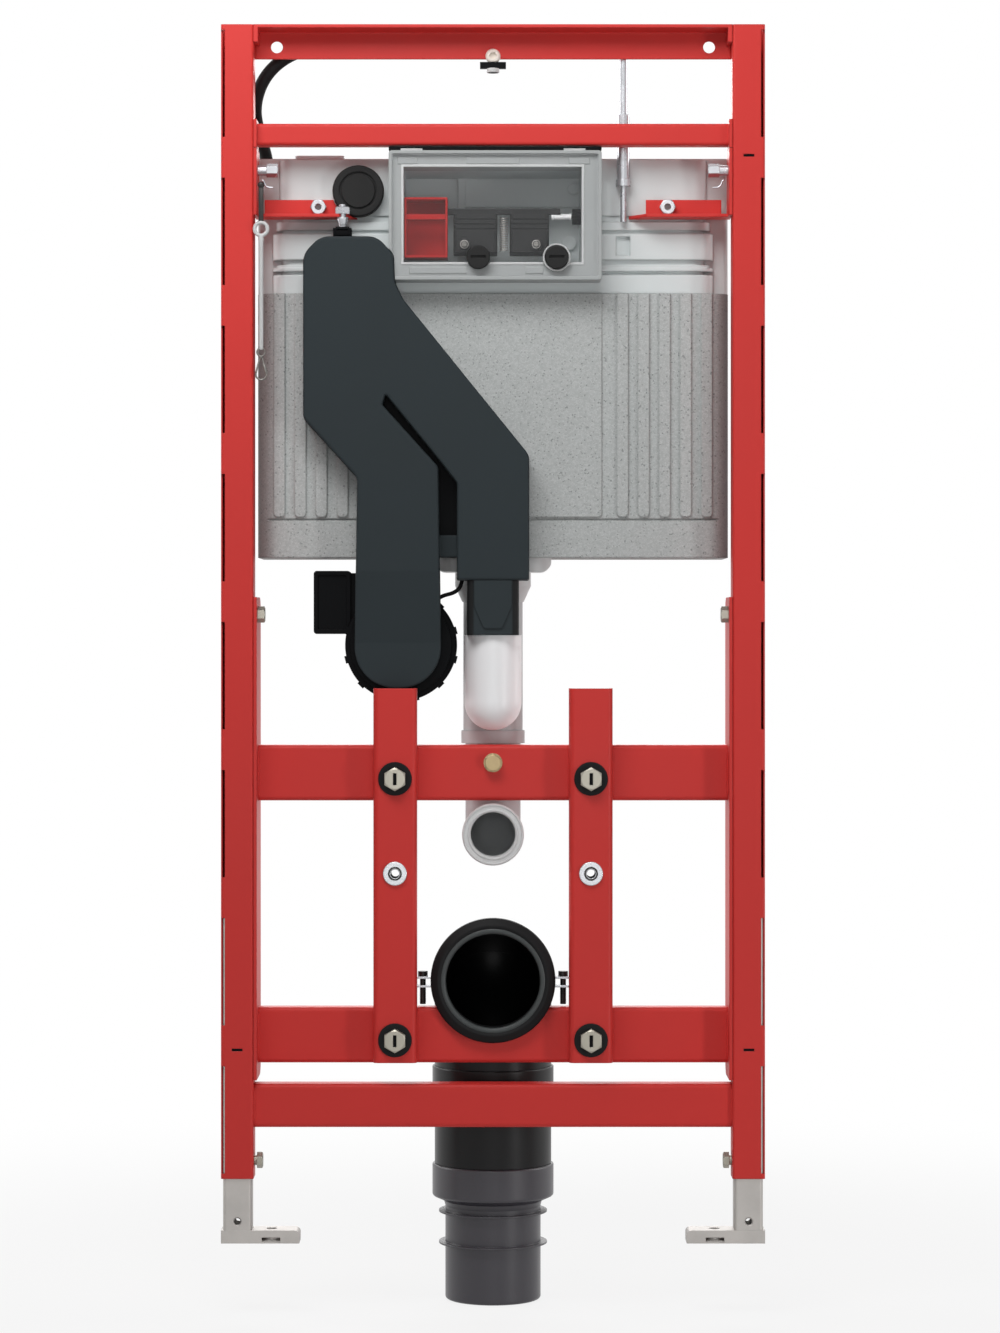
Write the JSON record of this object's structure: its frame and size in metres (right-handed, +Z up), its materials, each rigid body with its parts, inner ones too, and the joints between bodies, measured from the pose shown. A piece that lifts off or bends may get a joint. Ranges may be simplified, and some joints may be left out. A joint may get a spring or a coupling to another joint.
{
  "type": "wall hung toilet installation frame",
  "caption": "Red steel frame that carries a wall hung toilet bowl, with concealed cistern, flush pipe, drain bend and air extraction duct, on two telescoping legs.",
  "frame": {"origin": "on the sole of the left foot, under the middle of the left leg", "axes": "+Z up; the front, where the bowl is fixed, faces -Y; +X to the right seen from the front"},
  "size_m": [0.5, 0.1687, 1.187],
  "materials": {
    "adjusting_wheel": "black moulded plastic",
    "bar_bolts": "zinc plated steel",
    "bar_washers": "black washers",
    "blanking_plug": "black moulded plastic",
    "bottom_rail": "red powder coat",
    "bracket_bolts": "bright plated steel",
    "bracket_left": "red powder coat",
    "bracket_nuts": "zinc plated steel",
    "bracket_right": "red powder coat",
    "cistern_jacket": "speckled grey insulation",
    "cistern_tank": "light grey moulded tank",
    "column_left": "red powder coat",
    "column_right": "red powder coat",
    "cover_knobs": "black moulded plastic",
    "drain_adapter": "dark grey plastic",
    "drain_bend": "black moulded plastic",
    "drain_knee": "black moulded plastic",
    "drain_pipe": "black moulded plastic",
    "drain_seal": "black rubber rim",
    "drain_strap": "zinc plated steel",
    "duct_connector": "dark grey plastic",
    "duct_hanger": "plated steel",
    "extraction_duct": "dark grey moulded duct",
    "fan_cable": "black cable",
    "fan_housing": "black moulded plastic",
    "filter_cap": "white cap",
    "flush_pipe": "grey moulded plastic",
    "flush_seal": "black rubber",
    "flush_tray": "red plastic",
    "hanging_rod": "light rod and strap",
    "hatch_seal": "black moulded plastic",
    "inlet_elbow": "black moulded plastic",
    "inspection_frame": "light grey plastic",
    "leg_clamp_screws": "zinc plated steel",
    "leg_left": "zinc plated steel",
    "leg_right": "zinc plated steel",
    "lever_bar": "grey moulded plastic",
    "mounting_bar_left": "red powder coat",
    "mounting_bar_right": "red powder coat",
    "mounting_rail_lower": "red powder coat",
    "mounting_rail_upper": "red powder coat",
    "outlet_nut": "light grey plastic",
    "power_box": "black moulded plastic",
    "rail_bolt": "yellow passivated steel",
    "shoe_left": "zinc plated steel",
    "shoe_right": "zinc plated steel",
    "side_plate_bolts": "zinc plated steel",
    "side_plate_left": "red powder coat",
    "side_plate_right": "red powder coat",
    "snap_hook": "snap hook",
    "splash_cover": "clear cover",
    "strap_screws": "zinc plated steel",
    "stud_sleeves": "zinc plated steel",
    "supply_hose": "black hose",
    "tie_rod": "grey plastic and steel",
    "top_bolt": "zinc plated steel",
    "top_clip": "black moulded plastic",
    "top_rail": "red powder coat",
    "upper_rail": "red powder coat",
    "valve_blocks": "dark grey plastic"
  },
  "bodies": {
    "left_foot": {"leg_left": "leg_left", "shoe_left": "shoe_left"},
    "frame": {"adjusting_wheel": "adjusting_wheel", "bar_bolts": "bar_bolts", "bar_washers": "bar_washers", "blanking_plug": "blanking_plug", "bottom_rail": "bottom_rail", "bracket_bolts": "bracket_bolts", "bracket_left": "bracket_left", "bracket_nuts": "bracket_nuts", "bracket_right": "bracket_right", "cistern_jacket": "cistern_jacket", "cistern_tank": "cistern_tank", "column_left": "column_left", "column_right": "column_right", "cover_knobs": "cover_knobs", "drain_adapter": "drain_adapter", "drain_bend": "drain_bend", "drain_knee": "drain_knee", "drain_pipe": "drain_pipe", "drain_seal": "drain_seal", "drain_strap": "drain_strap", "duct_connector": "duct_connector", "duct_hanger": "duct_hanger", "extraction_duct": "extraction_duct", "fan_cable": "fan_cable", "fan_housing": "fan_housing", "filter_cap": "filter_cap", "flush_pipe": "flush_pipe", "flush_seal": "flush_seal", "flush_tray": "flush_tray", "hanging_rod": "hanging_rod", "hatch_seal": "hatch_seal", "inlet_elbow": "inlet_elbow", "inspection_frame": "inspection_frame", "leg_clamp_screws": "leg_clamp_screws", "lever_bar": "lever_bar", "mounting_bar_left": "mounting_bar_left", "mounting_bar_right": "mounting_bar_right", "mounting_rail_lower": "mounting_rail_lower", "mounting_rail_upper": "mounting_rail_upper", "outlet_nut": "outlet_nut", "power_box": "power_box", "rail_bolt": "rail_bolt", "side_plate_bolts": "side_plate_bolts", "side_plate_left": "side_plate_left", "side_plate_right": "side_plate_right", "snap_hook": "snap_hook", "splash_cover": "splash_cover", "strap_screws": "strap_screws", "stud_sleeves": "stud_sleeves", "supply_hose": "supply_hose", "tie_rod": "tie_rod", "top_bolt": "top_bolt", "top_clip": "top_clip", "top_rail": "top_rail", "upper_rail": "upper_rail", "valve_blocks": "valve_blocks"},
    "right_foot": {"leg_right": "leg_right", "shoe_right": "shoe_right"}
  },
  "joints": [
    {"name": "left_leg_slide", "type": "slide", "parent": "left_foot", "child": "frame", "axis": [0, 0, 1], "range_m": [-0.045, 0.15]},
    {"name": "right_leg_slide", "type": "slide", "parent": "frame", "child": "right_foot", "axis": [0, 0, -1], "range_m": [-0.045, 0.15]}
  ]
}
